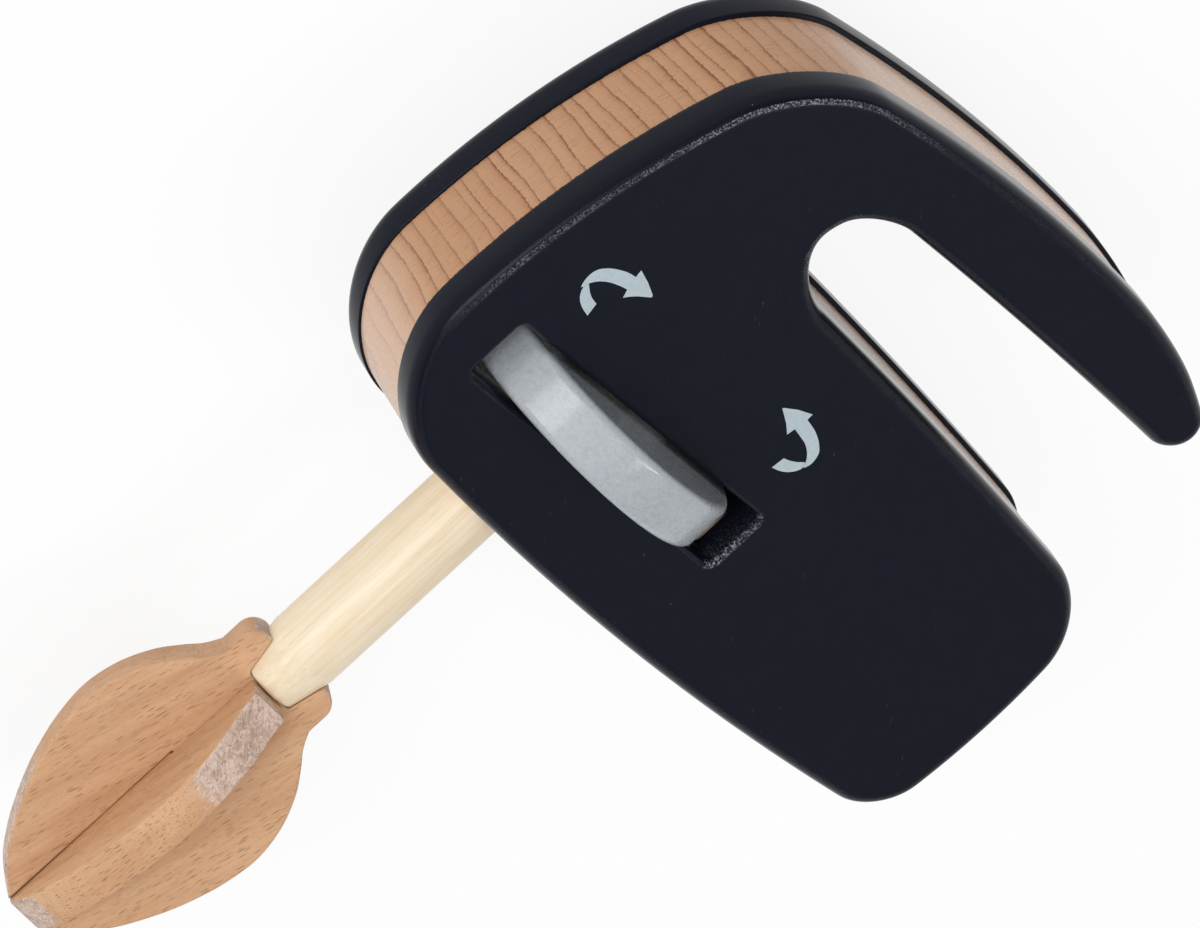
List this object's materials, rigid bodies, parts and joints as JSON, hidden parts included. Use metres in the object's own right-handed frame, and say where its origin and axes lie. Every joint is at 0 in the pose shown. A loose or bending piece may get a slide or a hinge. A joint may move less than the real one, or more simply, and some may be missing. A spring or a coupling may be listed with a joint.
{
  "type": "toy hand mixer",
  "caption": "Wooden play hand mixer: layered body with an open-ended handle, a thumb wheel in a slot and a crossed whisk on a round shaft.",
  "frame": {"origin": "middle of the bounding box's base, as the mixer lies on its back", "axes": "+Z out of the body's front face, +Y along the whisk's shaft from the whisk to the handle, +X to the handle's open rear end"},
  "size_m": [0.1646, 0.2178, 0.0644],
  "materials": {
    "painted_board": "satin black paint with a slight orange peel",
    "core_wood": "bare sanded wood with growth rings",
    "painted_wheel": "satin grey paint, slightly mottled",
    "dowel": "pale smooth birch, clear lacquer",
    "beech": "bare beech with short dark flecks"
  },
  "bodies": {
    "housing": {"front_plate": "painted_board", "wood_core": "core_wood", "back_plate": "painted_board"},
    "rotor": {"thumb_wheel": "painted_wheel", "whisk_shaft": "dowel", "whisk_plate_eared": "beech", "whisk_plate_crossing": "beech"}
  },
  "joints": [
    {"name": "whisk_spin", "type": "hinge", "parent": "housing", "child": "rotor", "pos_m": [-0.03248, 0.02797, 0.0322], "axis": [0, 1, 0], "continuous": true}
  ]
}
